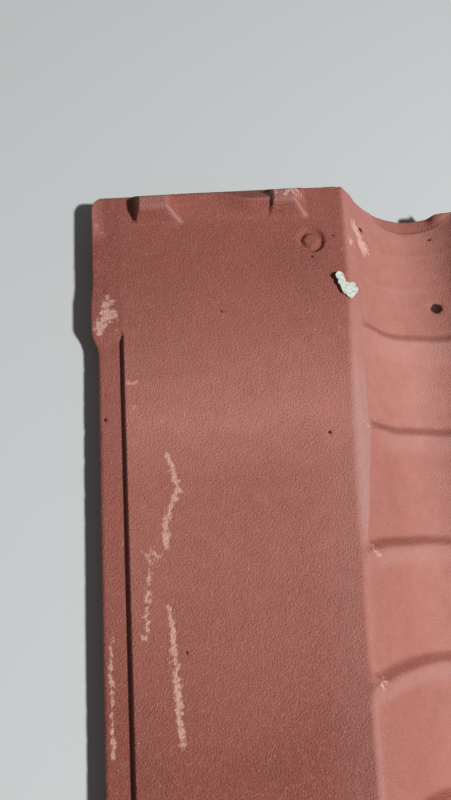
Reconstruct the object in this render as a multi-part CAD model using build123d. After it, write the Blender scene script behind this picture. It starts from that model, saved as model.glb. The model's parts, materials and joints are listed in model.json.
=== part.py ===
from build123d import *
from math import asin, atan2, cos, hypot, pi, sin, tan
import os

# Interlocking roof tile of Roman profile: a wide flat pan with one hollow roll beside it, pressed and
# fired as one piece of clay. It is drawn with its underside up: x runs across from the gutter edge to
# the covering edge, v is the distance from the head edge towards the nose, and z = 0 is the pan's
# underside. Millimetres.

# Pan and roll at the head edge. Towards the nose the roll takes its taper from the pan's width, and its
# crown gets deeper and rounder by the gains.
length = 460
wall = 12
pan_width = 171
roll_width = 121.5
roll_taper = 24.5
crown_depth = 49.5
crown_depth_gain = 3.5
crown_radius = 43.5
crown_radius_gain = 10
shoulder_radius = 12
valley_radius = 9
nose_bevel = 5
nose_bevel_depth = 3

# Plan outline
head_corner_radius = 8
edge_set_back = 1.5
notch_width = 47
notch_length = 48
notch_corner_radius = 7

# Gutter along the left edge, on the weather side, with its recessed underside
gutter_width = 19.6
gutter_recess = 4.2
gutter_recess_start = 95.5
gutter_recess_slope = 9
gutter_floor = 9
gutter_bar_width = 5.2
gutter_bar_height = 10
gutter_bar_draft = 1.2
gutter_head_gap = 14

# Interlock bars across the weather side near the head, and one bar under the pan near the nose
head_bar_places = (31, 58)
head_bar_width = 6
head_bar_height = 5
head_bar_draft = 1.5
nose_bar_from_nose = 51
nose_bar_width = 7
nose_bar_height = 4

# Batten lugs and the low rim between them
lug_height = 11.6
lug_depth = 22
lug_top_front = 16.2
lug_top_back = 8.2
lug_left_place = 30.3
lug_left_width = 29.7
lug_right_place = 119.7
lug_right_width = 25
lug_outer_draft = 4.4
lug_inner_draft = 8.2
lug_edge_radius = 2
rim_height = 7
rim_depth = 20.5
rim_crest = 5

# Nail knock-out: a thin ring round a plug that the roofer taps out
knock_out_place = 146
knock_out_from_head = 40.3
knock_out_plug = 9.5
knock_out_ring = 18
knock_out_depth = 3

# Hollow of the roll: shallow bays between transverse ribs, and a flare at the head end
first_rib_place = 95.5
rib_pitch = 71.4
rib_width = 3.5
bay_depth = 2.2
bay_slope = 3
bay_side_gap = 7
last_bay_gap = 22
flare_length = 8.5
flare_depth = 1.2
cut_clear = 0.3
cut_air = 2

cover_edge_place = pan_width + roll_width
notch_place = cover_edge_place + wall - notch_width


def along(point, angle, distance):
    """The point at a distance from another one, in a direction given in radians."""
    return (point[0] + distance * cos(angle), point[1] + distance * sin(angle))


def touch(corner, centre, radius, side):
    """Direction from a corner to where it touches a circle, and the touching point."""
    reach = hypot(centre[0] - corner[0], centre[1] - corner[1])
    towards = atan2(centre[1] - corner[1], centre[0] - corner[0])
    angle = towards - side * asin(radius / reach)
    return angle, along(corner, angle, (reach**2 - radius**2) ** 0.5)


class Section:
    """The tile's section at the distance v from the head edge, for a weather side at a given depth."""

    def __init__(self, v, thick=wall):
        self.plane = Plane.XZ.offset(v)
        share = v / length
        self.radius = crown_radius + crown_radius_gain * share
        depth = crown_depth + crown_depth_gain * share
        self.shoulder = (pan_width - roll_taper * share, 0)
        self.cover = (cover_edge_place, 0)
        self.centre = ((self.shoulder[0] + self.cover[0]) / 2, self.radius - depth)
        self.left, self.left_touch = touch(self.shoulder, self.centre, self.radius, 1)
        self.right, self.right_touch = touch(self.cover, self.centre, self.radius, -1)
        self.thick = thick

    def outward(self, point, flank, distance, side):
        """A point of a flank, moved square to it and away from the hollow."""
        return along(point, flank - side * pi / 2, distance)

    def crown(self, distance):
        """The crown arc, moved away from the hollow, from the left flank to the right one."""
        start = self.outward(self.left_touch, self.left, distance, 1)
        end = self.outward(self.right_touch, self.right, distance, -1)
        lowest = (self.centre[0], self.centre[1] - self.radius - distance)
        return start, lowest, end

    def valley(self):
        """The corner where the pan's weather side meets the roll's outer flank."""
        start = self.outward(self.shoulder, self.left, self.thick, 1)
        return along(start, self.left, (start[1] + self.thick) / -sin(self.left))

    def face(self):
        """The closed section of the pan and the roll."""
        turn = tan(-self.left / 2)
        shoulder_in = (self.shoulder[0] - shoulder_radius * turn, 0)
        shoulder_out = along(self.shoulder, self.left, shoulder_radius * turn)
        valley = self.valley()
        valley_in = along(valley, self.left, valley_radius * turn)
        valley_out = (valley[0] - valley_radius * turn, valley[1])
        cover_out = self.outward(self.cover, self.right, self.thick, -1)
        start, lowest, end = self.crown(0)
        outer_start, outer_lowest, outer_end = self.crown(self.thick)
        outline = Line((0, 0), shoulder_in)
        outline += TangentArc(shoulder_in, shoulder_out, tangent=(1, 0))
        outline += Line(shoulder_out, start)
        outline += ThreePointArc(start, lowest, end)
        outline += Line(end, self.cover)
        outline += Line(self.cover, cover_out)
        outline += Line(cover_out, outer_end)
        outline += ThreePointArc(outer_end, outer_lowest, outer_start)
        outline += Line(outer_start, valley_in)
        outline += TangentArc(valley_out, valley_in, tangent=(1, 0))
        outline += Line(valley_out, (0, -self.thick))
        outline += Line((0, -self.thick), (0, 0))
        return self.plane * make_face(outline)

    def hollow(self, deeper):
        """What is cut from the hollow of the roll to lower its surface by a given depth."""
        left_x = self.shoulder[0] + bay_side_gap
        right_x = self.cover[0] - bay_side_gap
        left_top = self.outward(self.shoulder, self.left, deeper, 1)
        right_top = self.outward(self.cover, self.right, deeper, -1)
        left_low = along(left_top, self.left, (left_x - left_top[0]) / cos(self.left))
        right_low = along(right_top, self.right, (right_x - right_top[0]) / cos(self.right))
        start, lowest, end = self.crown(deeper)
        outline = Line((left_x, cut_air), left_low)
        outline += Line(left_low, start)
        outline += ThreePointArc(start, lowest, end)
        outline += Line(end, right_low)
        outline += Line(right_low, (right_x, cut_air))
        outline += Line((right_x, cut_air), (left_x, cut_air))
        return self.plane * make_face(outline)


def prism_across(points, x_start, x_end):
    """A solid with an outline of (v, z) points, running across the tile."""
    outline = Polyline(*[(-v, z) for v, z in points], close=True)
    return Plane.YZ.offset(x_start) * extrude(make_face(outline), x_end - x_start)


def tapered_block(base, top, low, high):
    """A block that tapers from one rectangle (x, x, v, v) to another, between two heights."""
    faces = []
    for (x0, x1, v0, v1), z in ((base, low), (top, high)):
        outline = Polyline((x0, -v0), (x1, -v0), (x1, -v1), (x0, -v1), close=True)
        faces.append(Plane.XY.offset(z) * make_face(outline))
    return loft(faces, ruled=True)


def pan_and_roll():
    """The main body, with a round head corner and the weather side bevelled at the nose."""
    bevel_start = length - nose_bevel
    sections = [Section(0), Section(bevel_start), Section(length, wall - nose_bevel_depth)]
    body = loft([section.face() for section in sections], ruled=True)
    corner = body.edges().sort_by_distance((0, 0, -wall / 2))[0]
    return fillet(corner, head_corner_radius)


def prism_down(outline):
    """A solid with an outline seen from above, through the tile's whole height."""
    reach = crown_depth + crown_depth_gain + 2 * wall
    return Plane.XY.offset(-reach) * extrude(outline, 2 * reach)


def corner_notch():
    """The corner cut off the roll at the head, where four tiles meet on a roof."""
    end = notch_place + 2 * notch_width
    points = [(notch_place, wall), (end, wall), (end, -notch_length), (notch_place, -notch_length)]
    outline = make_face(Polyline(*points, close=True))
    corner = outline.vertices().sort_by_distance((notch_place, -notch_length))[0]
    return prism_down(fillet(corner, notch_corner_radius))


def edge_set_back_cut():
    """The sliver by which the gutter edge is narrower past the head."""
    recess_end = gutter_recess_start + gutter_recess_slope
    past = length + wall
    points = [(-wall, -gutter_recess_start), (0, -gutter_recess_start), (edge_set_back, -recess_end)]
    points += [(edge_set_back, -past), (-wall, -past)]
    return prism_down(make_face(Polyline(*points, close=True)))


def gutter():
    """The bars on both sides of the gutter, and the gutter's floor between them."""
    floor = -gutter_recess - gutter_floor
    low = floor - gutter_bar_height
    bars = []
    for x0 in (0, gutter_width - gutter_bar_width):
        base = (x0, x0 + gutter_bar_width, gutter_head_gap, length)
        top = (
            x0 + (gutter_bar_draft if x0 else edge_set_back),
            x0 + gutter_bar_width - gutter_bar_draft,
            gutter_head_gap + gutter_bar_height / 2,
            length - gutter_bar_height / 2,
        )
        bars.append(tapered_block(top, base, low, -wall / 2))
    floor_rect = (0, gutter_width, gutter_head_gap, length)
    bars.append(tapered_block(floor_rect, floor_rect, floor, -wall / 2))
    return bars


def gutter_recess_cut():
    """The recess under the gutter, which starts past the head with a slope."""
    start = gutter_recess_start
    end = start + gutter_recess_slope
    past = length + wall
    points = [(start, 0), (end, -gutter_recess), (past, -gutter_recess), (past, wall), (start, wall)]
    return prism_across(points, -wall, gutter_width)


def head_bar(place):
    """One interlock bar across the weather side of the pan and over the roll."""
    faces = []
    for v, height in (
        (place - head_bar_width / 2, head_bar_height - head_bar_draft),
        (place, head_bar_height),
        (place + head_bar_width / 2, head_bar_height - head_bar_draft),
    ):
        faces.append(Section(v, wall + height).face())
    across = loft(faces, ruled=True)
    inside = loft([Section(v).face() for v in (place - head_bar_width, place + head_bar_width)], ruled=True)
    span = notch_place - gutter_width
    kept = Pos(gutter_width + span / 2, 0, 0) * Box(span, 3 * length, 3 * length)
    return (across - inside) & kept


def nose_bar():
    """The cover bar under the pan, which drops between the head bars of the tile below."""
    place = length - nose_bar_from_nose
    half = nose_bar_width / 2
    top = half - nose_bar_height / 4
    points = [(place - half, 0), (place - top, nose_bar_height)]
    points += [(place + top, nose_bar_height), (place + half, 0)]
    return prism_across(points, gutter_width + wall, Section(place).shoulder[0] - shoulder_radius)


def lug(place, width, left_draft, right_draft):
    """A batten lug with its back sloping up from the head edge."""
    base = (place, place + width, 0, lug_depth)
    top = (place + left_draft, place + width - right_draft, lug_top_back, lug_top_front)
    block = tapered_block(base, top, 0, lug_height)
    upper = [edge for edge in block.edges() if edge.center().Z > lug_edge_radius / 2]
    return fillet(upper, lug_edge_radius)


def rim():
    """The low ridge between the lugs."""
    points = [(0, 0), (rim_crest, rim_height), (rim_depth, 0)]
    start = lug_left_place + lug_left_width - lug_inner_draft
    return prism_across(points, start, lug_right_place + lug_outer_draft)


def knock_out():
    """The ring that is pressed round the nail plug."""
    ring = Cylinder(knock_out_ring / 2, 2 * knock_out_depth) - Cylinder(knock_out_plug / 2, 3 * knock_out_depth)
    return Pos(knock_out_place, -knock_out_from_head, 0) * ring


def bays():
    """The shallow bays in the hollow, with the ribs left standing between them."""
    ribbed = length - last_bay_gap - first_rib_place
    count = max(1, round(ribbed / rib_pitch))
    ribs = [first_rib_place + n * rib_pitch for n in range(count)]
    cuts = []
    for start, end in zip(ribs, ribs[1:] + [first_rib_place + ribbed]):
        v0 = start + rib_width / 2
        v3 = end - rib_width / 2
        steps = ((v0, -cut_clear), (v0 + bay_slope, bay_depth), (v3 - bay_slope, bay_depth), (v3, -cut_clear))
        cuts.append(loft([Section(v).hollow(deeper) for v, deeper in steps], ruled=True))
    return cuts


def flare():
    """The widening of the hollow at its head end."""
    return loft([Section(0).hollow(flare_depth), Section(flare_length).hollow(-cut_clear)], ruled=True)


def resting(tile):
    """The tile as it lies unheld, on the gutter's outer bar and the crown of the roll."""
    bar_low = -gutter_recess - gutter_floor - gutter_bar_height
    bar_foot = (edge_set_back, bar_low)
    feet = []
    for v, proud in ((head_bar_places[0], head_bar_height), (length - nose_bevel, 0)):
        section = Section(v)
        crown = section.radius + wall + proud
        feet.append((v, touch(bar_foot, section.centre, crown, 1)[1]))
    (v_head, head_foot), (v_nose, nose_foot) = feet
    head_point = Vector(head_foot[0], -v_head, head_foot[1])
    nose_point = Vector(nose_foot[0], -v_nose, nose_foot[1])
    bar_point = Vector(bar_foot[0], -length / 2, bar_foot[1])
    up = (head_point - nose_point).cross(bar_point - nose_point).normalized()
    across = Vector(1, 0, 0) - up * up.X
    lying = Plane(origin=bar_point, x_dir=across, z_dir=up).to_local_coords(tile)
    box = lying.bounding_box()
    return Pos(-box.center().X, -box.center().Y, -box.min.Z) * lying


tile = pan_and_roll() - corner_notch()
for bar in gutter():
    tile += bar
for place in head_bar_places:
    tile += head_bar(place)
tile += nose_bar()
tile += rim()
tile += lug(lug_left_place, lug_left_width, lug_outer_draft, lug_inner_draft)
tile += lug(lug_right_place, lug_right_width, lug_outer_draft / 2, lug_inner_draft)
tile -= gutter_recess_cut()
for bay in bays():
    tile -= bay
tile -= flare()
tile -= knock_out()
tile -= edge_set_back_cut()

os.makedirs("parts", exist_ok=True)
export_step(resting(tile), "parts/roof_tile.step")
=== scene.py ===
import json
import math

import bpy
import numpy as np
from mathutils import Matrix, Vector, noise


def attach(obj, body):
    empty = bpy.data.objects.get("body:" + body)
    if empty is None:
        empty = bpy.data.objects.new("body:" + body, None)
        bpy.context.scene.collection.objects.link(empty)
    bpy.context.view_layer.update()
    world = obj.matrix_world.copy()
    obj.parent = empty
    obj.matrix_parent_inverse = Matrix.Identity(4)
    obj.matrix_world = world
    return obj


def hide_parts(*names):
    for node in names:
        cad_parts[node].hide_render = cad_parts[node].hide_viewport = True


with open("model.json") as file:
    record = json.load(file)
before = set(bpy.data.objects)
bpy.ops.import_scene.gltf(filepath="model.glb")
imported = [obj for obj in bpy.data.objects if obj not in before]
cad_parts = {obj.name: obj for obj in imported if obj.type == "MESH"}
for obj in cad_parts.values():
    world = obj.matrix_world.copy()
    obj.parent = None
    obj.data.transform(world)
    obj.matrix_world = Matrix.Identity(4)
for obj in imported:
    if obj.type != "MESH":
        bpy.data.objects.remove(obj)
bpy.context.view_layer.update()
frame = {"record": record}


# The tile as it lies: underside up, on the gutter's outer bar and on the crown of its roll.
# The flat underside of the pan gives its slope. Everything on the tile is then measured in millimetres
# from the corner of head edge and gutter edge: across, from the head, and up from the pan.

pan_mount = next(mount for mount in frame["record"]["mounts"] if mount["name"] == "pan_underside")
PAN_MOUNT_ACROSS = 85
PAN_MOUNT_FROM_HEAD = 230
up_from_pan = Vector(pan_mount["axis"]).normalized()
across_tile = (Vector((1, 0, 0)) - up_from_pan * up_from_pan.x).normalized()
towards_head = up_from_pan.cross(across_tile)
head_corner = (
    Vector(pan_mount["pos_m"])
    - across_tile * PAN_MOUNT_ACROSS / 1000
    + towards_head * PAN_MOUNT_FROM_HEAD / 1000
)
tile_axes = Matrix((across_tile, towards_head, up_from_pan)).transposed()
tile_lies = Matrix.Translation(head_corner) @ tile_axes.to_4x4()


def on_tile(across, from_head, above):
    """The place in the room of a point that is measured on the tile."""
    return tile_lies @ (Vector((across, -from_head, above)) / 1000)


# The tile's body: one piece of red clay, squeezed between two moulds and fired. The pan is flat, and the
# hollow roll beside it gets wider and deeper towards the nose. A corner is cut off the roll at the head,
# where four tiles meet.

TILE_LENGTH = 460
CLAY_WALL = 12
PAN_WIDTH = 171
ROLL_WIDTH = 121.5
ROLL_TAPER = 24.5
CROWN_DEPTH = 49.5
CROWN_DEPTH_GAIN = 3.5
CROWN_RADIUS = 43.5
CROWN_RADIUS_GAIN = 10
SHOULDER_RADIUS = 4
SHOULDER_RADIUS_GAIN = 11
SHOULDER_RADIUS_RUN = (60, 230)
VALLEY_RADIUS = 9
HEAD_CORNER_RADIUS = 8
EDGE_SET_BACK = 2.1
EDGE_SET_BACK_RUN = (97, 112)
EDGE_BULGE = 1.2
EDGE_BULGE_PLACE = 86
EDGE_BULGE_LENGTH = 14
EDGE_BULGE_SLOPE = 16
NOTCH_PLACE = 265
NOTCH_LENGTH = 48
NOTCH_CORNER_RADIUS = 7
ARRIS = 1.3
ARRIS_STEPS = (0.25, 0.7, ARRIS)
ARRIS_END = (0.7, 0.25, 0)

# The points of the underside stand closest where the clay has small forms. In each pair a stretch of columns
# or rows ends at the first number and has as many steps as the second.
STRIP_END = 24
PAN_COLUMNS = ((STRIP_END, 27), (30, 3), (62, 36), (118, 27), (137, 24))
SHOULDER_COLUMNS = 33
BEND_COLUMNS = 12
ROLL_COLUMNS = 66
COVER_COLUMNS = 18
HEAD_ROWS = ((24, 33), (46.5, 24))
NOTCH_ROWS = (-0.8, -0.25, 0, 0.25, 0.8, 1.5)
RIB_ROWS = (
    (54, 6), (90, 18), (106, 18), (161, 24), (173, 12), (232, 27), (244, 12), (304, 27), (317, 12),
    (380, 27), (393, 12), (TILE_LENGTH - ARRIS, 33),
)


def eased(low, high, value):
    """0 below low, 1 above high and a smooth rise between them."""
    share = np.clip((value - low) / (high - low), 0, 1)
    return share * share * (3 - 2 * share)


def band(value, place, width, slope):
    """1 along a band of the given width, falling to 0 over the slope on both sides."""
    return 1 - eased(width / 2, width / 2 + slope, np.abs(value - place))


def steps(start, end, count):
    """Evenly spaced places after start, up to end."""
    return list(np.linspace(start, end, count + 1)[1:])


def stretches(start, ends):
    """Places after start, in stretches that are given by their end and their number of steps."""
    places = []
    for end, count in ends:
        places += steps(start, end, count)
        start = end
    return places


def roll_at(v):
    """The roll at a distance from the head: shoulder, crown centre, radius, flank slope and length."""
    share = v / TILE_LENGTH
    shoulder = PAN_WIDTH - ROLL_TAPER * share
    half = (ROLL_WIDTH + ROLL_TAPER * share) / 2
    radius = CROWN_RADIUS + CROWN_RADIUS_GAIN * share
    drop = CROWN_DEPTH + CROWN_DEPTH_GAIN * share - radius
    reach = math.hypot(half, drop)
    slope = math.atan2(drop, half) + math.asin(radius / reach)
    return shoulder, (shoulder + half, -drop), radius, slope, math.sqrt(reach**2 - radius**2)


def round_the_roll(centre, radius, slope, distance):
    """Places on the roll's section at distances from its crown: across, up, and lean of the surface."""
    lean = np.clip(np.asarray(distance) / radius, -slope, slope)
    beyond = distance - radius * lean
    across = centre[0] + radius * np.sin(lean) + beyond * np.cos(lean)
    up = centre[1] - radius * np.cos(lean) + beyond * np.sin(lean)
    return across, up, lean


def distance_to(across, centre, radius, slope):
    """The distance from the crown, along the right half of the section, to a place across the tile."""
    out = across - centre[0]
    arc_end = radius * math.sin(slope)
    if out < arc_end:
        return radius * math.asin(out / radius)
    return radius * slope + (out - arc_end) / math.cos(slope)


def gutter_edge_at(v):
    """How far the gutter edge is set in from the straight line, with the round head corner."""
    corner = max(HEAD_CORNER_RADIUS - v, 0)
    edge = HEAD_CORNER_RADIUS - math.sqrt(HEAD_CORNER_RADIUS**2 - corner**2)
    set_back = EDGE_SET_BACK * float(eased(*EDGE_SET_BACK_RUN, v))
    bulge = EDGE_BULGE * float(band(v, EDGE_BULGE_PLACE, EDGE_BULGE_LENGTH, EDGE_BULGE_SLOPE))
    return edge + set_back - bulge


def notch_edge_at(v):
    """Where the roll is cut at the head corner, with the round inside corner of the notch."""
    into = min(max(v - NOTCH_LENGTH + NOTCH_CORNER_RADIUS, 0), NOTCH_CORNER_RADIUS)
    return NOTCH_PLACE + NOTCH_CORNER_RADIUS - math.sqrt(NOTCH_CORNER_RADIUS**2 - into**2)


def underside_row(v):
    """One row across the underside: across, up, lean, and distance into the roll from its shoulder."""
    shoulder, centre, radius, slope, flank = roll_at(v)
    rounding = SHOULDER_RADIUS + SHOULDER_RADIUS_GAIN * float(eased(*SHOULDER_RADIUS_RUN, v))
    bend = rounding * math.tan(slope / 2)
    edge = gutter_edge_at(v)
    pan = [0, *ARRIS_STEPS, *stretches(ARRIS, PAN_COLUMNS)]
    pan = [edge + place * (STRIP_END - edge) / STRIP_END if place < STRIP_END else place for place in pan]
    pan += steps(pan[-1], shoulder - bend, SHOULDER_COLUMNS)
    points = [(place, 0, 0, place - (shoulder - bend) - rounding * slope) for place in pan]
    for lean in steps(0, slope, BEND_COLUMNS):
        across = shoulder - bend + rounding * math.sin(lean)
        points.append((across, rounding * (math.cos(lean) - 1), -lean, rounding * (lean - slope)))
    start = bend - radius * slope - flank
    notch = distance_to(notch_edge_at(v), centre, radius, slope)
    before = [notch - step for step in reversed(ARRIS_STEPS)]
    past = [notch + step for step in ARRIS_STEPS]
    end = radius * slope + flank
    edge_end = [end - step for step in ARRIS_END]
    places = [*steps(start, before[0], ROLL_COLUMNS), *before[1:], notch, *past]
    places += [*steps(past[-1], end - ARRIS, COVER_COLUMNS), *edge_end]
    across, up, lean = round_the_roll(centre, radius, slope, np.array(places))
    return np.concatenate((points, np.column_stack((across, up, lean, np.array(places) - start))))


underside_rows = [0, *ARRIS_STEPS, *stretches(ARRIS, HEAD_ROWS)]
underside_rows += [NOTCH_LENGTH + step for step in NOTCH_ROWS]
underside_rows += stretches(underside_rows[-1], RIB_ROWS)
underside_rows += [TILE_LENGTH - step for step in ARRIS_END]
underside = np.array([underside_row(v) for v in underside_rows])
across, up, lean, into_roll = (underside[:, :, k] for k in range(4))
from_head = np.repeat(np.array(underside_rows)[:, None], across.shape[1], axis=1)
bend_column = len(ARRIS_STEPS) + sum(count for end, count in PAN_COLUMNS) + SHOULDER_COLUMNS
past_bend = into_roll - into_roll[:, bend_column:bend_column + 1]
to_cover_edge = into_roll[:, -1:] - into_roll
notch_column = bend_column + BEND_COLUMNS + ROLL_COLUMNS + len(ARRIS_STEPS)
underside_notch = (underside_rows.index(NOTCH_LENGTH), notch_column)


# What the lower mould presses into the underside. Two lugs hook the tile on the roof's batten, with a low rim
# between them. The strip under the gutter lies lower than the pan, and past the head the hollow of the roll
# is ribbed so that it doesn't warp in the kiln. The thin ring is a nail hole that the roofer knocks out.

GUTTER_WIDTH = 19.6
GUTTER_RECESS = 4.2
GUTTER_RECESS_START = 95.5
GUTTER_RECESS_SLOPE = 9
GUTTER_WALL = (GUTTER_WIDTH - 1.7, GUTTER_WIDTH - 0.1)
LUG_SIZES = ((29.3, 30.7, 4, 8.2), (119.7, 25, 2.2, 8.2))
LUG_HEIGHT = 11.6
LUG_DEPTH = 22
LUG_TOP_FRONT = 16.2
LUG_TOP_BACK = 8.2
LUG_SOFTNESS = 0.5
RIM_MIDDLE = 88
RIM_LENGTH = 68
RIM_END_SLOPE = 4
RIM_HEIGHT = 7
RIM_DEPTH = 20.5
RIM_CREST = 5
RIM_SOFTNESS = 0.8
RIM_GAIN_RUN = (82, 108)
RIM_HEIGHT_GAIN = 3
RIM_DEPTH_GAIN = 1
RIM_CREST_GAIN = 8
KNOCK_OUT = (146, 40.3)
KNOCK_OUT_GROOVE = 6.9
KNOCK_OUT_GROOVE_WIDTH = 4.8
KNOCK_OUT_DEPTH = 2.6
KNOCK_OUT_FULLNESS = 0.7
RIB_PLACES = (96.3, 165.5, 238.9, 310.8, 386.5)
RIB_BEND_FAR = 2.6
RIB_BEND_FAR_RUN = (76, 106)
RIB_BEND_NEAR = 1.8
RIB_BEND_NEAR_RUN = (8, 30)
RIB_RISE = 6
RIB_FALL = 14
RIB_HEIGHT = 1.6
RIB_SOFTNESS = 1.2
RIB_END_SLOPE = (-4, 3)
PLAIN_HEAD_LENGTH = 45
FIRST_RIB_FOOT = 1.8
LAST_BAY_END = 438
LAST_BAY_SLOPE = 4
BAY_DEPTH = 2.7
BAY_CORNER = 8
BAY_SIDES = ((97, 160, 183, 214, 238, 248, 281), (19, 18.5, 18, 12, 6.5, 4.3, 2))
BAY_SIDE_SLOPE = (-1, 4)
PLAIN_COVER_EDGE = (5, 10)
HOLLOW_START = (0, 3)
HOLLOW_END = (3, 8)
FAINT_LINES = ((31, 0.25), (58, 0.45))
FAINT_LINE_WIDTH = 1
FAINT_LINE_SLOPE = 3
HEAD_WAVE = 1.5
HEAD_WAVE_START = 15
HEAD_WAVE_LENGTH = 64
HEAD_WAVE_FADE = (20, 70)
FLARE_LENGTH = 12.5
FLARE_REACH = 0.8
FLARE_DEPTH = 1.8
FLARE_FALL = 0.5
FLARE_EDGE = 0.8
LEAST_FLARE_LENGTH = 0.01
LIP_HEIGHT = 3.6
LIP_RISE_RUN = (245.5, 252)
LIP_FALL = 7
LIP_FALL_RUN = (254, 264)
LIP_LENGTH = 10
NOSE_BAR_PLACE = 409
NOSE_BAR_WIDTH = 7
NOSE_BAR_HEIGHT = 4
NOSE_BAR_STEEPNESS = 4
NOSE_BAR_SOFTNESS = 0.5
NOSE_BAR_MIDDLE = 84.4
NOSE_BAR_LENGTH = 102.6
NOSE_BAR_END_SLOPE = 3


def least(softness, *heights):
    """The lowest of several slopes, with the corners between them rounded."""
    heights = np.stack(np.broadcast_arrays(*heights))
    lowest = heights.min(0)
    return lowest - softness * np.log(np.exp((lowest - heights) / softness).sum(0))


def raised(softness, *slopes):
    """A raised form under several slopes, with a hollow foot where it meets the pan."""
    return softness * np.logaddexp(0, least(softness, *slopes) / softness)


def lug(place, width, left_draft, right_draft):
    """A batten lug, with its back sloping up from the head edge."""
    left = (across - place) * LUG_HEIGHT / left_draft
    right = (place + width - across) * LUG_HEIGHT / right_draft
    back = from_head * LUG_HEIGHT / LUG_TOP_BACK
    front = (LUG_DEPTH - from_head) * LUG_HEIGHT / (LUG_DEPTH - LUG_TOP_FRONT)
    return raised(LUG_SOFTNESS, left, right, back, front, LUG_HEIGHT + LUG_SOFTNESS)


def ribbed(v):
    """The hollow's height along the roll. Each rib rises steeply from the bay above and falls off gently."""
    knots = [(0, 0), (PLAIN_HEAD_LENGTH, 0)]
    for place in RIB_PLACES:
        foot = place - RIB_RISE / 2
        knots.append((foot, -FIRST_RIB_FOOT if place == RIB_PLACES[0] else -BAY_DEPTH))
        knots.append((foot + RIB_RISE, RIB_HEIGHT))
        knots.append((foot + RIB_RISE + RIB_FALL, -BAY_DEPTH))
    knots += [(LAST_BAY_END - LAST_BAY_SLOPE, -BAY_DEPTH), (LAST_BAY_END, 0)]
    places, heights = zip(*knots)
    shifts = (-RIB_SOFTNESS, 0, RIB_SOFTNESS)
    return sum(np.interp(v + shift, places, heights) for shift in shifts) / len(shifts)


pressed = sum(lug(*sizes) for sizes in LUG_SIZES)
at_second_lug = eased(*RIM_GAIN_RUN, across)
rim_height = RIM_HEIGHT + RIM_HEIGHT_GAIN * at_second_lug
rim_depth = RIM_DEPTH + RIM_DEPTH_GAIN * at_second_lug
rim_crest = RIM_CREST + RIM_CREST_GAIN * at_second_lug
rim_back = from_head * rim_height / rim_crest
rim_front = (rim_depth - from_head) * rim_height / (rim_depth - rim_crest)
rim = raised(RIM_SOFTNESS, rim_back, rim_front) * band(across, RIM_MIDDLE, RIM_LENGTH, RIM_END_SLOPE)
pressed = np.maximum(pressed, rim)

recess_run = (GUTTER_RECESS_START, GUTTER_RECESS_START + GUTTER_RECESS_SLOPE)
pressed -= GUTTER_RECESS * eased(*recess_run, from_head) * (1 - eased(*GUTTER_WALL, across))
groove = np.hypot(across - KNOCK_OUT[0], from_head - KNOCK_OUT[1]) - KNOCK_OUT_GROOVE
groove = np.clip(1 - (2 * groove / KNOCK_OUT_GROOVE_WIDTH) ** 2, 0, 1)
pressed -= KNOCK_OUT_DEPTH * groove**KNOCK_OUT_FULLNESS

bend_far = RIB_BEND_FAR * eased(*RIB_BEND_FAR_RUN, past_bend)
bend_near = RIB_BEND_NEAR * (1 - eased(*RIB_BEND_NEAR_RUN, past_bend))
along_ribs = from_head - bend_far - bend_near
near_rib = np.min([np.abs(along_ribs - place) for place in RIB_PLACES], axis=0)
corner = np.clip(BAY_CORNER - near_rib, 0, BAY_CORNER)
bay_corner = BAY_CORNER - np.sqrt(BAY_CORNER**2 - corner**2)
past_bay_line = past_bend - np.interp(from_head, *BAY_SIDES)
at_cover_edge = eased(*PLAIN_COVER_EDGE, to_cover_edge)
in_bays = eased(*BAY_SIDE_SLOPE, past_bay_line - bay_corner) * at_cover_edge
on_ribs = eased(*RIB_END_SLOPE, past_bay_line) * at_cover_edge
heights = ribbed(along_ribs)
pressed += np.where(heights < 0, heights * in_bays, heights * on_ribs)

in_hollow = eased(*HOLLOW_START, into_roll) * eased(*HOLLOW_END, to_cover_edge)
for place, height in FAINT_LINES:
    pressed += height * in_hollow * band(from_head, place, FAINT_LINE_WIDTH, FAINT_LINE_SLOPE)
wave = np.clip((past_bend - HEAD_WAVE_START) / HEAD_WAVE_LENGTH, 0, 1)
pressed -= HEAD_WAVE * np.sin(2 * math.pi * wave) * (1 - eased(*HEAD_WAVE_FADE, from_head))
flare_reach = np.sqrt(np.clip(1 - (lean / FLARE_REACH) ** 2, 0, 1)) * in_hollow
flared = np.clip(from_head / (FLARE_LENGTH * flare_reach + LEAST_FLARE_LENGTH), 0, 1)
flare_height = 1 - FLARE_FALL * flared - (1 - FLARE_FALL) * eased(FLARE_EDGE, 1, flared)
pressed -= FLARE_DEPTH * flare_reach * flare_height
lip = LIP_HEIGHT * eased(*LIP_RISE_RUN, across) - LIP_FALL * eased(*LIP_FALL_RUN, across)
pressed += lip * (1 - eased(LIP_LENGTH / 4, LIP_LENGTH, from_head)) * at_cover_edge
nose_bar_side = NOSE_BAR_STEEPNESS * (NOSE_BAR_WIDTH / 2 - np.abs(from_head - NOSE_BAR_PLACE))
nose_bar = raised(NOSE_BAR_SOFTNESS, nose_bar_side, NOSE_BAR_HEIGHT)
pressed += nose_bar * band(across, NOSE_BAR_MIDDLE, NOSE_BAR_LENGTH, NOSE_BAR_END_SLOPE)


# The moulds leave soft edges, and firing leaves the clay a little uneven. Edges that meet other tiles are
# chipped here and there, and small pits are left where grains have burnt out or broken away.

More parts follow.
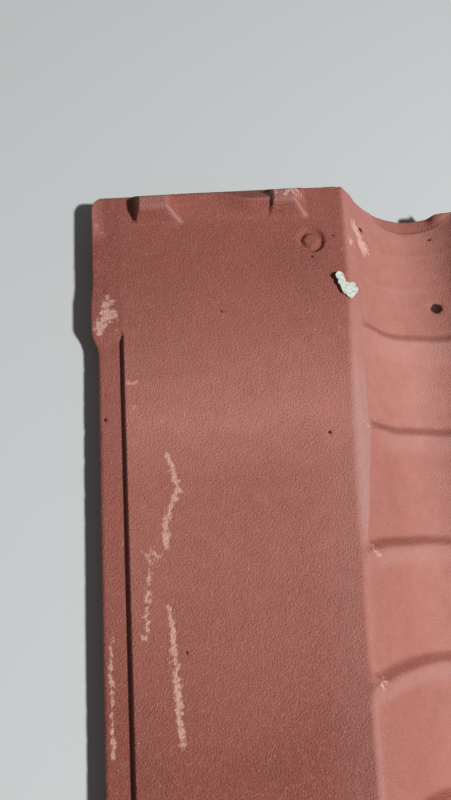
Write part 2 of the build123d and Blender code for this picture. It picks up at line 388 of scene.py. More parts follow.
STRIP_ROUNDING = 1.5
STRIP_ROUNDING_RUN = (100, 112)
CHIP_SIZE = 5
CHIP_SEED = 3
CHIP_DEPTH = 1.8
CHIP_RARITY = 0.25
CHIP_REACH = (0.5, 3.5)
PITS = (
    (6.5, 137.4, 1.6), (6.2, 154.6, 1.9), (145.3, 52.4, 1.7), (83, 88, 1.4), (143.2, 171.9, 1.9),
    (49.5, 290.7, 1.5), (184, 29.2, 1.7), (189.6, 20.1, 2.4), (161.1, 37.7, 1.5), (219.7, 136.9, 1.5),
    (245.9, 18.9, 1.8), (242.5, 74.3, 4.4),
)
PIT_DEPTH = 2
PIT_SIZE_AT_FULL_DEPTH = 3
PIT_RAGGEDNESS = 0.35
PIT_RAG_SIZE = 2.5
PIT_SEED = 8
EDGE_STEP_DEPTH = 0.4
EDGE_STEP_ACROSS = (2, 10, 2)
EDGE_STEP_FROM_HEAD = (64.7, 16, 2)
UNEVENNESS = ((0.3, 70, 1), (0.1, 16, 2), (0.08, 5, 4))
SEED_SHIFT = (17.3, 5.1, 9.7)


def uneven(size, seed, places):
    """Smooth random heights between -1 and 1, with bumps of about the given size in millimetres."""
    flat = places.reshape(-1, 3) / size
    shift = Vector([seed * step for step in SEED_SHIFT])
    values = [noise.noise(Vector(place) + shift) for place in flat]
    return np.array(values).reshape(places.shape[:-1])


def edge_drop(distance, radius):
    """How far a rounded edge lies below the surface, at a distance from the edge."""
    inside = np.clip(radius - distance, 0, radius)
    return radius - np.sqrt(np.maximum(radius**2 - inside**2, 0))


def notch_distance(across, from_head):
    """Distance from the cut corner of the roll, which has a round inside corner."""
    beside = NOTCH_PLACE + NOTCH_CORNER_RADIUS - across
    below = from_head - NOTCH_LENGTH + NOTCH_CORNER_RADIUS
    outside = np.hypot(np.maximum(beside, 0), np.maximum(below, 0))
    return outside + np.minimum(np.maximum(beside, below), 0) - NOTCH_CORNER_RADIUS


places = np.stack((across, -from_head, up), axis=-1)
edge_places = np.array([gutter_edge_at(v) for v in underside_rows])[:, None]
strip_rounding = ARRIS + STRIP_ROUNDING * eased(*STRIP_ROUNDING_RUN, from_head)
drops = [
    edge_drop(across - edge_places, strip_rounding),
    edge_drop(from_head, ARRIS),
    edge_drop(TILE_LENGTH - from_head, ARRIS),
    edge_drop(to_cover_edge, ARRIS),
    edge_drop(notch_distance(across, from_head), ARRIS),
]
pressed -= np.max(drops, axis=0)
edge_distance = np.minimum(np.minimum(across - edge_places, from_head), notch_distance(across, from_head))
chips = np.clip(uneven(CHIP_SIZE, CHIP_SEED, places) - CHIP_RARITY, 0, 1)
pressed -= CHIP_DEPTH * chips * (1 - eased(*CHIP_REACH, edge_distance))
raggedness = 1 + PIT_RAGGEDNESS * uneven(PIT_RAG_SIZE, PIT_SEED, places)
pitted = np.zeros(across.shape)
for place, v, size in PITS:
    ragged = np.hypot(across - place, from_head - v) * raggedness
    pit = np.clip(1 - ragged / size, 0, 1) * size / PIT_SIZE_AT_FULL_DEPTH
    pitted = np.maximum(pitted, pit)
pressed -= PIT_DEPTH * pitted
pressed -= EDGE_STEP_DEPTH * band(across, *EDGE_STEP_ACROSS) * band(from_head, *EDGE_STEP_FROM_HEAD)
for height, size, seed in UNEVENNESS:
    pressed += height * uneven(size, seed, places)

underside_points = np.stack((
    across - np.sin(lean) * pressed,
    -from_head,
    up + np.cos(lean) * pressed,
), axis=-1)


# The weather side, which the upper mould presses: two bars along the gutter edge with the gutter between
# them, two bars across the head that the next tile's nose drops over, the plain outside of the roll and a
# bevel under the nose.

GUTTER_DEPTH = 11.2
GUTTER_FLOOR = 1.2
GUTTER_SECTION = (0, 1.2, 4.0, 5.2, 14.4, 15.6, 18.4, 19.6, 20.2)
GUTTER_HEIGHTS = (
    9.8, GUTTER_DEPTH, GUTTER_DEPTH, GUTTER_FLOOR, GUTTER_FLOOR, GUTTER_DEPTH, GUTTER_DEPTH, 1, 0,
)
GUTTER_BAR_ENDS = ((14, 19, 455, TILE_LENGTH), (0, 1, 1, 0.1))
HEAD_BARS = (31, 58)
HEAD_BAR_HEIGHT = 5
HEAD_BAR_SECTION = ((0, 3, 3.6), (1, 0.7, 0))
HEAD_BAR_START = (19, 20.5)
HEAD_BAR_END = (257, 258.5)
NOSE_BEVEL = 5
NOSE_BEVEL_DEPTH = 3
NOTCH_ARRIS = 1
WEATHER_UNEVENNESS = ((0.3, 70, 5), (0.1, 16, 6))

# The points of the weather side, again closest where the clay has small forms
GUTTER_COLUMNS = (
    0, 0.7, 1.6, 2.6, 3.8, 4.8, 5.6, 6.5, 8, 10, 12, 13.4, 14.2, 15, 16, 17.4, 18.4, 19.2, 20.2, 21.5,
)
PAN_BACK_COLUMNS = 28
VALLEY_COLUMNS = 5
FLANK_COLUMNS = 9
CROWN_COLUMNS = 17
CORNER_COLUMNS = 6
COVER_EDGE_END = 2
COVER_EDGE_ARRIS = 0.7
WEATHER_ROWS = (
    (1, 1), (4, 1), (12, 2), (15, 1), (18, 1), (26, 2), (27.5, 1), (34.5, 7), (37, 1), (41, 1), (44.5, 1),
    (46.5, 1), (NOTCH_LENGTH, 1), (54, 3), (62, 8), (65, 1), (440, 56), (452, 3), (454, 1), (456, 2),
    (457.5, 1), (458.5, 1), (459.3, 1), (TILE_LENGTH, 1),
)


def weather_row(v):
    """One row across the weather side: across, up, and lean of the surface."""
    shoulder, centre, radius, slope, flank = roll_at(v)
    outer = radius + CLAY_WALL
    edge = gutter_edge_at(v)
    last = GUTTER_COLUMNS[-1]
    places = [edge + place * (last - edge) / last for place in GUTTER_COLUMNS]
    bend = VALLEY_RADIUS * math.tan(slope / 2)
    valley = shoulder - CLAY_WALL * math.tan(slope / 2) - bend
    points = [(place, -CLAY_WALL, 0) for place in places + steps(last, valley, PAN_BACK_COLUMNS)]
    for turn in steps(0, slope, VALLEY_COLUMNS):
        up = VALLEY_RADIUS * (math.cos(turn) - 1) - CLAY_WALL
        points.append((valley + VALLEY_RADIUS * math.sin(turn), up, -turn))
    crown_start = round_the_roll(centre, outer, slope, -outer * slope)
    foot = points[-1]
    for share in steps(0, 1, FLANK_COLUMNS):
        place = foot[0] + (crown_start[0] - foot[0]) * share
        points.append((place, foot[1] + (crown_start[1] - foot[1]) * share, -slope))
    notch = distance_to(notch_edge_at(v), centre, outer, slope)
    end = outer * slope + flank
    places = steps(-outer * slope, notch, CROWN_COLUMNS)
    places += steps(notch, end - COVER_EDGE_END, CORNER_COLUMNS)
    places += [end - COVER_EDGE_ARRIS, end]
    return np.concatenate((points, np.column_stack(round_the_roll(centre, outer, slope, np.array(places)))))


weather_rows = [0, *stretches(0, WEATHER_ROWS)]
weather = np.array([weather_row(v) for v in weather_rows])
w_across, w_up, w_lean = (weather[:, :, k] for k in range(3))
w_from_head = np.repeat(np.array(weather_rows)[:, None], w_across.shape[1], axis=1)
flat_columns = len(GUTTER_COLUMNS) + PAN_BACK_COLUMNS + VALLEY_COLUMNS + FLANK_COLUMNS
weather_notch = (weather_rows.index(NOTCH_LENGTH), flat_columns + CROWN_COLUMNS - 1)
bar_height = np.interp(w_from_head, *GUTTER_BAR_ENDS)
proud = bar_height * np.interp(w_across, GUTTER_SECTION, GUTTER_HEIGHTS)
bar_length = eased(*HEAD_BAR_START, w_across) * (1 - eased(*HEAD_BAR_END, w_across))
for place in HEAD_BARS:
    proud += HEAD_BAR_HEIGHT * bar_length * np.interp(np.abs(w_from_head - place), *HEAD_BAR_SECTION)
proud -= NOSE_BEVEL_DEPTH * np.clip((w_from_head - TILE_LENGTH + NOSE_BEVEL) / NOSE_BEVEL, 0, 1)
proud -= edge_drop(w_from_head, ARRIS)
proud -= edge_drop(notch_distance(w_across, w_from_head), NOTCH_ARRIS)
w_places = np.stack((w_across, -w_from_head, w_up), axis=-1)
for height, size, seed in WEATHER_UNEVENNESS:
    proud += height * uneven(size, seed, w_places)
weather_points = np.stack((
    w_across + np.sin(w_lean) * proud,
    -w_from_head,
    w_up - np.cos(w_lean) * proud,
), axis=-1)
notch_side = range(weather_notch[0] + 1)
weather_points[notch_side, weather_notch[1], 0] = w_across[notch_side, weather_notch[1]]


# Both sides are joined round the edge into one closed piece of clay. The edge has three points on the
# underside for each one on the weather side.

EDGE_RINGS = (0.3, 0.65)


def edge_loop(last_row, last_column, notch):
    """Rows and columns of the points round the edge, from the head corner at the gutter."""
    loop = [(0, column) for column in range(notch[1] + 1)]
    loop += [(row, notch[1]) for row in range(1, notch[0] + 1)]
    loop += [(notch[0], column) for column in range(notch[1] + 1, last_column + 1)]
    loop += [(row, last_column) for row in range(notch[0] + 1, last_row + 1)]
    loop += [(last_row, column) for column in range(last_column - 1, -1, -1)]
    return loop + [(row, 0) for row in range(last_row - 1, 0, -1)]


def sheet_faces(shape, notch, first, flip):
    """Faces of a sheet of points, without the corner that the notch cuts off."""
    rows, columns = np.mgrid[0:shape[0] - 1, 0:shape[1] - 1]
    kept = (rows >= notch[0]) | (columns < notch[1])
    corner = first + rows[kept] * shape[1] + columns[kept]
    order = (corner, corner + shape[1], corner + shape[1] + 1, corner + 1)
    return np.stack(order[::-1] if flip else order, axis=-1).tolist()


rows, columns = across.shape
w_rows, w_columns = w_across.shape
points = [underside_points.reshape(-1, 3), weather_points.reshape(-1, 3)]
weather_first = rows * columns
faces = sheet_faces((rows, columns), underside_notch, 0, False)
faces += sheet_faces((w_rows, w_columns), weather_notch, weather_first, True)
fine = [row * columns + column for row, column in edge_loop(rows - 1, columns - 1, underside_notch)]
coarse_loop = edge_loop(w_rows - 1, w_columns - 1, weather_notch)
coarse = [weather_first + row * w_columns + column for row, column in coarse_loop]
upper = points[0][fine]
lower = points[1][np.array(coarse) - weather_first]
following = np.roll(lower, -1, axis=0)
between = np.stack([lower + (following - lower) * third / 3 for third in range(3)], axis=1).reshape(-1, 3)
for share in EDGE_RINGS:
    ring_first = sum(len(part) for part in points)
    points.append(upper + (between - upper) * share)
    ring = [ring_first + place for place in range(len(fine))]
    for place, name in enumerate(ring):
        after = (place + 1) % len(fine)
        faces.append((fine[place], fine[after], ring[after], name))
    fine = ring
for place, name in enumerate(coarse):
    after = coarse[(place + 1) % len(coarse)]
    a, b, c, d = (fine[(3 * place + step) % len(fine)] for step in range(4))
    faces += [(a, b, name), (b, c, after, name), (c, d, after)]

points = np.concatenate(points)
used = np.zeros(len(points), dtype=bool)
for face in faces:
    used[list(face)] = True
renumbered = np.cumsum(used) - 1
tile_mesh = bpy.data.meshes.new("pressed_tile")
tile_mesh.from_pydata(
    (points[used] / 1000).tolist(), [], [[int(renumbered[place]) for place in face] for face in faces]
)
tile_mesh.transform(tile_lies)
tile_mesh.polygons.foreach_set("use_smooth", [True] * len(tile_mesh.polygons))
pressed_tile = bpy.data.objects.new("pressed_tile", tile_mesh)
bpy.context.collection.objects.link(pressed_tile)
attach(pressed_tile, "root")
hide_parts("roof_tile")


# Marks on the underside: pale lime that water has drawn out of the clay in streaks, dust in the corners,
# clay rubbed paler along the shoulder of the roll with a painted sheen on it, painted highlights on the ribs,
# the shoulder line and the lugs' lit ridges, a painted pool of light on the pan, painted light towards the
# crown of the hollow and painted shade on the rib rises, a darker flare at the head of the hollow, and the
# sand that keeps the pan from sticking to the mould. Each is kept as a strength from 0 to 1 at every point of
# the tile.

# Strength, width and path of each lime mark
LIME_MARKS = (
    (1, 4, ((43.5, 181), (45.5, 185), (47.5, 189.5))),
    (1, 4, ((47.5, 193), (49, 201), (45.5, 207), (43, 213), (41, 219), (40.5, 225), (41, 233))),
    (0.8, 4, ((31.5, 233), (30, 248), (29, 262), (27.5, 275), (26.5, 282))),
    (1, 4, ((41, 266), (42.5, 280), (43, 304), (44.5, 335))),
    (0.7, 5, ((29, 236), (36.5, 238), (32, 241))),
    (0.8, 2.5, ((7.5, 281), (6.5, 301), (7, 304), (7.5, 343))),
    (1, 7, ((10, 78), (8, 84), (12, 87), (6, 91), (4.5, 96))),
    (0.4, 5, ((-1, 5), (4, 26))),
    (0.7, 3.5, ((21, 132.5), (27, 133))),
    (0.7, 3.5, ((22, 148), (26, 148.5))),
    (0.75, 9, ((122, 9), (139, 9))),
    (0.75, 7, ((35, 4), (46, 5))),
    (1.2, 8, ((181, 24), (185.5, 27.5))),
    (1.2, 9, ((186, 30), (188, 36))),
    (0.7, 5, ((174, 38), (175.2, 41.5))),
    (0.6, 4, ((166, 166), (170, 167))),
    (0.6, 4, ((161, 243), (165, 246))),
    (0.8, 4, ((155, 315), (158, 314))),
)
# Paler band along the shoulder of the roll, where it turns towards the lamp: partly rubbed clay, partly
# painted sheen.
SHOULDER_WEAR_AND_SHEEN = ((85, 110, 125, 140, 222, 246, 470), (0, 0.25, 0.4, 0.9, 0.95, 0.2, 0.2))
SHOULDER_WEAR_AND_SHEEN_START = (-1, 5)
SHOULDER_WEAR_AND_SHEEN_END = (-2, 2)
# Painted highlight on the nose-facing fall of each rib.
CREST_HIGHLIGHT = 0.55
CREST_PLACE = 9
CREST_WIDTH = 3
CREST_SLOPE = 5.5
CREST_HIGHLIGHT_STARTS = ((24, 54), (24, 54), (0, 30), (-8, 22), (-8, 22))
FAINT_LINE_RUB = 0.4
FAINT_LINE_RUB_BAND = (59.5, 1, 1.5)
FAINT_LINE_RUB_START = (46, 62)
FAINT_LINE_RUB_END = (82, 100)
PAN_RUB = 0.18
PAN_RUB_START = (-28, -6)
PAN_RUB_END = (-1, 3)
PAN_RUB_RUN = (140, 200)
# Painted highlight along the shoulder line of the hollow towards the nose.
NOSE_SHOULDER_HIGHLIGHT = 0.45
NOSE_SHOULDER_HIGHLIGHT_BAND = (3, 3, 3)
NOSE_SHOULDER_HIGHLIGHT_RUN = (305, 325)
LUG_TOP_RUB = 0.5
LUG_TOP_HEIGHTS = (8, 11)
# Painted highlight along the right ridge of each lug, the side that faces the lamp.
LUG_RIDGE_HIGHLIGHTS = (((51.8, 16.2), (60, 22)), ((136.5, 16.2), (144.7, 22)))
LUG_RIDGE_HIGHLIGHT_WIDTH = 2.5
SAND_END = (-1, 6)
# Painted pool of light: the pan is made paler towards its middle along its length, and the strip gets less of
# it.
PAN_LIGHT_POOL = ((0, 60, 100, 160, 195, 240, 300, 350), (0.08, 0.08, 0.25, 0.6, 0.34, 0.32, 0.18, 0))
STRIP_LIGHT_POOL_SHARE = 0.4
STRIP_LIGHT_POOL_END = (GUTTER_WIDTH - 2, GUTTER_WIDTH)
# Paler in the hollow, most near the head and less towards the nose.
HOLLOW_PALENESS = ((90, 98, 166, 174, 311, 320, 383, 392), (0.45, 0.50, 0.46, 0.34, 0.34, 0.27, 0.27, 0.2))
# Painted light: the hollow is made paler towards its crown, which the lamp lights less.
CROWN_LIGHT = 0.17
CROWN_LIGHT_LEANS = (-0.85, 0)
CROWN_LIGHT_RUN = (90, 100)
# The flare at the head of the hollow is kept darker.
FLARE_DARKENING = 0.28
FLARE_DARKENING_EDGE = 0.9
# Painted shade: the steep rise of each rib, which faces away from the lamp, is kept darker.
RISE_SHADE = 0.2
RISE_SHADE_WIDTH = 3
RISE_SHADE_SLOPE = 3
CORNER_DUST = 0.5
CORNER_DUST_PATH = ((1, 2), (1, 13), (3, 26))
CORNER_DUST_WIDTH = 9
WEATHER_DUST = 0.25


def near_path(path, width):
    """1 on a path of places on the tile, falling to 0 at the given distance from it."""
    nearest = np.full(across.shape, np.inf)
    for (x, v), (x_end, v_end) in zip(path, path[1:]):
        x_run = x_end - x
        v_run = v_end - v
        share = ((across - x) * x_run + (from_head - v) * v_run) / (x_run**2 + v_run**2)
        share = np.clip(share, 0, 1)
        gap = np.hypot(across - x - share * x_run, from_head - v - share * v_run)
        nearest = np.minimum(nearest, gap)
    return np.clip(1 - nearest / width, 0, 1)


lime = np.max([strength * near_path(path, width) for strength, width, path in LIME_MARKS], axis=0)

# Shoulder band: partly rubbed clay, partly painted sheen.
on_shoulder = eased(*SHOULDER_WEAR_AND_SHEEN_START, past_bend) * (1 - eased(*SHOULDER_WEAR_AND_SHEEN_END, past_bay_line))
wear_and_sheen = on_shoulder * np.interp(from_head, *SHOULDER_WEAR_AND_SHEEN)
# Painted highlight on the nose-facing fall of each rib.
for place, start in zip(RIB_PLACES, CREST_HIGHLIGHT_STARTS):
    crest = CREST_HIGHLIGHT * band(along_ribs, place + CREST_PLACE, CREST_WIDTH, CREST_SLOPE) * on_ribs
    wear_and_sheen = np.maximum(wear_and_sheen, crest * eased(*start, past_bend))
along_hollow = eased(*FAINT_LINE_RUB_START, past_bend) * (1 - eased(*FAINT_LINE_RUB_END, past_bend))
wear_and_sheen = np.maximum(wear_and_sheen, FAINT_LINE_RUB * band(from_head, *FAINT_LINE_RUB_BAND) * along_hollow)
beside_shoulder = eased(*PAN_RUB_START, past_bend) * (1 - eased(*PAN_RUB_END, past_bend))
wear_and_sheen = np.maximum(wear_and_sheen, PAN_RUB * beside_shoulder * eased(*PAN_RUB_RUN, from_head))
# Painted highlight along the shoulder line towards the nose.
wear_and_sheen = np.maximum(wear_and_sheen, NOSE_SHOULDER_HIGHLIGHT * band(past_bend, *NOSE_SHOULDER_HIGHLIGHT_BAND) * eased(*NOSE_SHOULDER_HIGHLIGHT_RUN, from_head))
wear_and_sheen = np.maximum(wear_and_sheen, LUG_TOP_RUB * eased(*LUG_TOP_HEIGHTS, pressed))
# Painted highlight on the lugs' lit right ridges.
for path in LUG_RIDGE_HIGHLIGHTS:
    wear_and_sheen = np.maximum(wear_and_sheen, near_path(path, LUG_RIDGE_HIGHLIGHT_WIDTH))

sandy = 1 - eased(*SAND_END, past_bend)

# Painted pool of light on the pan.
off_strip = STRIP_LIGHT_POOL_SHARE + (1 - STRIP_LIGHT_POOL_SHARE) * eased(*STRIP_LIGHT_POOL_END, across)
on_pan = np.interp(from_head, *PAN_LIGHT_POOL) * off_strip
# Painted light towards the crown of the hollow.
towards_crown = CROWN_LIGHT * eased(*CROWN_LIGHT_LEANS, lean) * eased(*CROWN_LIGHT_RUN, from_head)
# Darker on the flare at the head of the hollow.
on_flare = FLARE_DARKENING * flare_reach * (1 - eased(FLARE_DARKENING_EDGE, 1, flared))
# Painted shade on the rib rises.
rises = [band(along_ribs, place, RISE_SHADE_WIDTH, RISE_SHADE_SLOPE) for place in RIB_PLACES]
on_rises = RISE_SHADE * on_ribs * np.max(rises, axis=0)
in_roll = np.interp(from_head, *HOLLOW_PALENESS) + towards_crown - on_flare - on_rises
# Real dust and painted light together.
dust_and_light = on_pan * sandy + in_roll * (1 - sandy)
dust_and_light = np.maximum(dust_and_light, CORNER_DUST * near_path(CORNER_DUST_PATH, CORNER_DUST_WIDTH))

marks = {"lime": lime, "wear_and_sheen": wear_and_sheen, "sandy": sandy, "dust_and_light": dust_and_light, "pitted": pitted}
for name, strength in marks.items():
    values = np.full(len(points), WEATHER_DUST if name == "dust_and_light" else 0.0)
    values[:across.size] = strength.ravel()
    tile_mesh.attributes.new(name, "FLOAT", "POINT").data.foreach_set("value", values[used])


# Fired clay: matt brick red, mottled by the kiln, with pale and dark grains in it and a sandy skin. Dust and
# rubbing make it paler, and so do painted sheen, painted highlights and painted light; lime that has come out
# of it dries nearly white, and the pits are painted nearly black as shade.

CLAY_RED = (0.320, 0.092, 0.067, 1)
CLAY_DARK = (0.280, 0.080, 0.059, 1)
CLAY_PALE = (0.47, 0.22, 0.175, 1)
# Paler colours for dust, also used for the painted pool of light and painted light towards the crown.
CLAY_DUST_AND_LIGHT = (0.62, 0.30, 0.25, 1)
RED_DUST_AND_LIGHT = (0.64, 0.26, 0.21, 1)
# Paler rubbed clay, also used for the painted sheen and painted highlights.
RUBBED_CLAY_AND_SHEEN = (0.46, 0.25, 0.23, 1)
LIME_WHITE = (0.76, 0.45, 0.37, 1)
GRAIN_PALE = (0.66, 0.46, 0.38, 1)
GRAIN_DARK = (0.12, 0.04, 0.03, 1)
# Painted shade: the pits are coloured nearly black.
PIT_SHADE = (0.03, 0.01, 0.008, 1)
CLAY_ROUGHNESS = 0.82
CLAY_SHINE = 0.3

# Each pattern has a size in millimetres and a detail. A range gives the values of the pattern between which a
# colour comes in, and then how weak and how strong it gets.
KILN_PATTERN = (60, 3)
KILN_RANGE = (0.35, 0.65)
DUST_AND_LIGHT_PATTERN = (9, 5)
DUST_AND_LIGHT_RANGE = (0.3, 0.7, 0.85, 1.15)
WEAR_AND_SHEEN_PATTERN = (5, 4)
WEAR_AND_SHEEN_RANGE = (0.3, 0.6, 0.6, 0.9)
GRAINS = (
    ((3.5, 4), (0.5, 0.75, 0, 0.25), CLAY_PALE),
    ((0.9, 1), (0.62, 0.70, 0, 0.6), CLAY_PALE),
    ((1.3, 1), (0.745, 0.775, 0, 0.6), GRAIN_PALE),
    ((1.5, 2), (0.71, 0.77, 0, 0.7), GRAIN_DARK),
)
LIME_PATTERN = (3, 7)
LIME_GAIN = 0.45
LIME_RANGE = (0.70, 0.86, 0, 0.75)
PIT_SHADE_RANGE = (0.12, 0.35, 0, 0.96)
SAND_PATTERN = (1.0, 5)
SAND_RANGE = (0, 1, 0.65, 1)
SAND_HEIGHT = 0.0012

clay = bpy.data.materials.new("fired_clay")
clay.use_nodes = True
nodes = clay.node_tree.nodes
links = clay.node_tree.links
skin = nodes["Principled BSDF"]
skin.inputs["Roughness"].default_value = CLAY_ROUGHNESS
skin.inputs["Specular IOR Level"].default_value = CLAY_SHINE
tile_places = nodes.new("ShaderNodeTexCoord").outputs["Object"]


def mottle(size, detail):
    """A cloudy pattern with clouds of about the given size in millimetres."""
    cloud = nodes.new("ShaderNodeTexNoise")
    cloud.inputs["Scale"].default_value = 1000 / size
    cloud.inputs["Detail"].default_value = detail
    links.new(tile_places, cloud.inputs["Vector"])
    return cloud.outputs["Fac"]


def between_values(value, low, high, start=0, end=1):
    """A pattern stretched so that low becomes start and high becomes end."""
    stretch = nodes.new("ShaderNodeMapRange")
    links.new(value, stretch.inputs["Value"])
    for name, number in (("From Min", low), ("From Max", high), ("To Min", start), ("To Max", end)):
        stretch.inputs[name].default_value = number
    return stretch.outputs["Result"]


def combine(operation, first, second):
    """Two patterns, or a pattern and a number, put together."""
    sum_node = nodes.new("ShaderNodeMath")
    sum_node.operation = operation
    links.new(first, sum_node.inputs[0])
    if isinstance(second, (int, float)):
        sum_node.inputs[1].default_value = second
    else:
        links.new(second, sum_node.inputs[1])
    return sum_node.outputs["Value"]


def laid_over(share, under, over):
    """One colour laid over another by the given share."""
    layer = nodes.new("ShaderNodeMix")
    layer.data_type = "RGBA"
    links.new(share, layer.inputs["Factor"])
    for colour, socket in ((under, layer.inputs[6]), (over, layer.inputs[7])):
        if isinstance(colour, tuple):
            socket.default_value = colour
        else:
            links.new(colour, socket)
    return layer.outputs[2]


def mark(name):
    """The strength of one of the tile's marks."""
    strength = nodes.new("ShaderNodeAttribute")
    strength.attribute_name = name
    return strength.outputs["Fac"]


colour = laid_over(between_values(mottle(*KILN_PATTERN), *KILN_RANGE), CLAY_DARK, CLAY_RED)
# Paler colour for dust, for the painted pool of light on the pan and for painted light towards the crown.
dust_and_light_share = combine("MULTIPLY", mark("dust_and_light"), between_values(mottle(*DUST_AND_LIGHT_PATTERN), *DUST_AND_LIGHT_RANGE))
colour = laid_over(dust_and_light_share, colour, laid_over(mark("sandy"), CLAY_DUST_AND_LIGHT, RED_DUST_AND_LIGHT))
# Rubbed clay together with painted sheen and painted highlights, laid over as a paler colour.
wear_and_sheen_share = combine("MULTIPLY", mark("wear_and_sheen"), between_values(mottle(*WEAR_AND_SHEEN_PATTERN), *WEAR_AND_SHEEN_RANGE))
colour = laid_over(wear_and_sheen_share, colour, RUBBED_CLAY_AND_SHEEN)
for pattern, strengths, grain_colour in GRAINS:
    colour = laid_over(between_values(mottle(*pattern), *strengths), colour, grain_colour)
lime_edge = combine("ADD", combine("MULTIPLY", mark("lime"), LIME_GAIN), mottle(*LIME_PATTERN))
colour = laid_over(between_values(lime_edge, *LIME_RANGE), colour, LIME_WHITE)
# Painted shade in the pits.
colour = laid_over(between_values(mark("pitted"), *PIT_SHADE_RANGE), colour, PIT_SHADE)
links.new(colour, skin.inputs["Base Color"])

sand = combine("MULTIPLY", mottle(*SAND_PATTERN), between_values(mark("sandy"), *SAND_RANGE))
relief = nodes.new("ShaderNodeBump")
relief.inputs["Distance"].default_value = SAND_HEIGHT
relief.inputs["Strength"].default_value = 1.0
links.new(sand, relief.inputs["Height"])
links.new(relief.outputs["Normal"], skin.inputs["Normal"])
tile_mesh.materials.append(clay)


# A flake of old lime mortar that has stuck to the shoulder of the roll near the head. It touches the clay
# along the shoulder only, so its left side stands clear of the pan.

FLAKE_OUTLINE = (
    (158.5, 68), (160.5, 66), (162.5, 66), (164, 67), (164.5, 69.5), (165.5, 73), (168, 73.5),
    (170.5, 72.5), (172, 73.5), (171.5, 75.5), (173.5, 76.5), (173, 79), (171, 81), (169.5, 83),
    (167.5, 84.5), (165.5, 83.5), (164.5, 82), (162.5, 81), (161.5, 78.5), (161, 76), (159.5, 74),
    (160, 72), (158.5, 70),
)
FLAKE_THICKNESS = 1.1
FLAKE_TILT = 0.35
FLAKE_FOOT = 165.5
LIME_MORTAR = (0.66, 0.66, 0.60, 1)
DAMP_MORTAR = (0.40, 0.49, 0.45, 1)
MORTAR_GRAIN = 2.2
MORTAR_ROUGHNESS = 0.9
DAMP_RANGE = (0.45, 0.62)

flake_points = []
for above in (0, FLAKE_THICKNESS):
    for place, v in FLAKE_OUTLINE:
        flake_points.append(on_tile(place, v, FLAKE_TILT * (FLAKE_FOOT - place) + above))
flake_count = len(FLAKE_OUTLINE)
flake_faces = [list(range(flake_count)), list(range(2 * flake_count - 1, flake_count - 1, -1))]
for place in range(flake_count):
    after = (place + 1) % flake_count
    flake_faces.append([after, place, place + flake_count, after + flake_count])
flake_mesh = bpy.data.meshes.new("mortar_flake")
flake_mesh.from_pydata(flake_points, [], flake_faces)
mortar_flake = bpy.data.objects.new("mortar_flake", flake_mesh)
bpy.context.collection.objects.link(mortar_flake)
mortar = bpy.data.materials.new("lime_mortar")
mortar.use_nodes = True
mortar_skin = mortar.node_tree.nodes["Principled BSDF"]
mortar_skin.inputs["Roughness"].default_value = MORTAR_ROUGHNESS
mortar_places = mortar.node_tree.nodes.new("ShaderNodeTexCoord")
grains = mortar.node_tree.nodes.new("ShaderNodeTexNoise")
grains.inputs["Scale"].default_value = 1000 / MORTAR_GRAIN
damp = mortar.node_tree.nodes.new("ShaderNodeMapRange")
damp.inputs["From Min"].default_value = DAMP_RANGE[0]
damp.inputs["From Max"].default_value = DAMP_RANGE[1]
mortar_colour = mortar.node_tree.nodes.new("ShaderNodeMix")
mortar_colour.data_type = "RGBA"
mortar_colour.inputs[6].default_value = LIME_MORTAR
mortar_colour.inputs[7].default_value = DAMP_MORTAR
mortar.node_tree.links.new(mortar_places.outputs["Object"], grains.inputs["Vector"])
mortar.node_tree.links.new(grains.outputs["Fac"], damp.inputs["Value"])
mortar.node_tree.links.new(damp.outputs["Result"], mortar_colour.inputs["Factor"])
mortar.node_tree.links.new(mortar_colour.outputs[2], mortar_skin.inputs["Base Color"])
flake_mesh.materials.append(mortar)
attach(mortar_flake, "root")


# The floor that the tile lies on, plain and pale. It is a part of the picture only and belongs to no piece
# of the tile.

FLOOR_GREY = (0.56, 0.58, 0.58, 1)
FLOOR_ROUGHNESS = 0.9
FLOOR_REACH = 3

corners = [(-FLOOR_REACH, -FLOOR_REACH, 0), (FLOOR_REACH, -FLOOR_REACH, 0)]
corners += [(FLOOR_REACH, FLOOR_REACH, 0), (-FLOOR_REACH, FLOOR_REACH, 0)]
floor_mesh = bpy.data.meshes.new("floor")
floor_mesh.from_pydata(corners, [], [(0, 1, 2, 3)])
floor = bpy.data.objects.new("floor", floor_mesh)
bpy.context.collection.objects.link(floor)
plain = bpy.data.materials.new("plain_floor")
plain.use_nodes = True
floor_skin = plain.node_tree.nodes["Principled BSDF"]
floor_skin.inputs["Base Color"].default_value = FLOOR_GREY
floor_skin.inputs["Roughness"].default_value = FLOOR_ROUGHNESS
floor_mesh.materials.append(plain)


# Light: one round lamp high on the side of the roll, turned towards the nose, and a weak even light all
# round that fills the shadows.

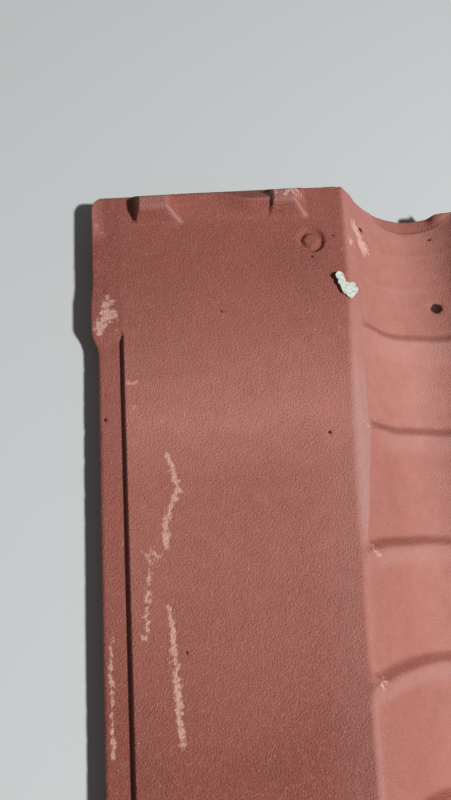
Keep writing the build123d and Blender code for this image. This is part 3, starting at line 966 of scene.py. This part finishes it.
LAMP_CENTRE = (130, 200, 0)
LAMP_RISE = 49
LAMP_TURN = 28
LAMP_DISTANCE = 2.5
LAMP_SIZE = 0.2
LAMP_ENERGY = 73
EVEN_LIGHT = (0.93, 0.97, 1, 1)
EVEN_LIGHT_STRENGTH = 0.105

lamp = bpy.data.lights.new("main_lamp", "AREA")
lamp.shape = "DISK"
lamp.size = LAMP_SIZE
lamp.energy = LAMP_ENERGY
main_lamp = bpy.data.objects.new("main_lamp", lamp)
bpy.context.collection.objects.link(main_lamp)
rise = math.radians(LAMP_RISE)
turn = math.radians(LAMP_TURN)
aside = across_tile * math.cos(turn) - towards_head * math.sin(turn)
to_lamp = aside * math.cos(rise) + up_from_pan * math.sin(rise)
main_lamp.location = on_tile(*LAMP_CENTRE) + to_lamp * LAMP_DISTANCE
main_lamp.rotation_euler = to_lamp.to_track_quat("Z", "Y").to_euler()
world = bpy.data.worlds.new("even_light")
world.use_nodes = True
world.node_tree.nodes["Background"].inputs["Color"].default_value = EVEN_LIGHT
world.node_tree.nodes["Background"].inputs["Strength"].default_value = EVEN_LIGHT_STRENGTH
bpy.context.scene.world = world
bpy.context.scene.view_settings.view_transform = "Standard"


# The camera looks down on the head end from a little nearer the nose, turned slightly. Its place, aim and
# lens are those that fit the edges, the ribs and the outline of the roll in the photo.

CAMERA_PLACE = (67.8, 246.0, 357.2)
CAMERA_AIM = (81.0, 147.5, 0)
CAMERA_TURN = 4.22
CAMERA_LENS = 27.03
CAMERA_SENSOR = 36

camera_data = bpy.data.cameras.new("camera")
camera_data.lens = CAMERA_LENS
camera_data.sensor_width = CAMERA_SENSOR
camera = bpy.data.objects.new("camera", camera_data)
bpy.context.collection.objects.link(camera)
look = (on_tile(*CAMERA_AIM) - on_tile(*CAMERA_PLACE)).normalized()
side = look.cross(towards_head).normalized()
camera_axes = Matrix((side, side.cross(look), -look)).transposed()
camera_axes = Matrix.Rotation(math.radians(CAMERA_TURN), 3, look) @ camera_axes
camera.matrix_world = Matrix.Translation(on_tile(*CAMERA_PLACE)) @ camera_axes.to_4x4()
bpy.context.scene.camera = camera
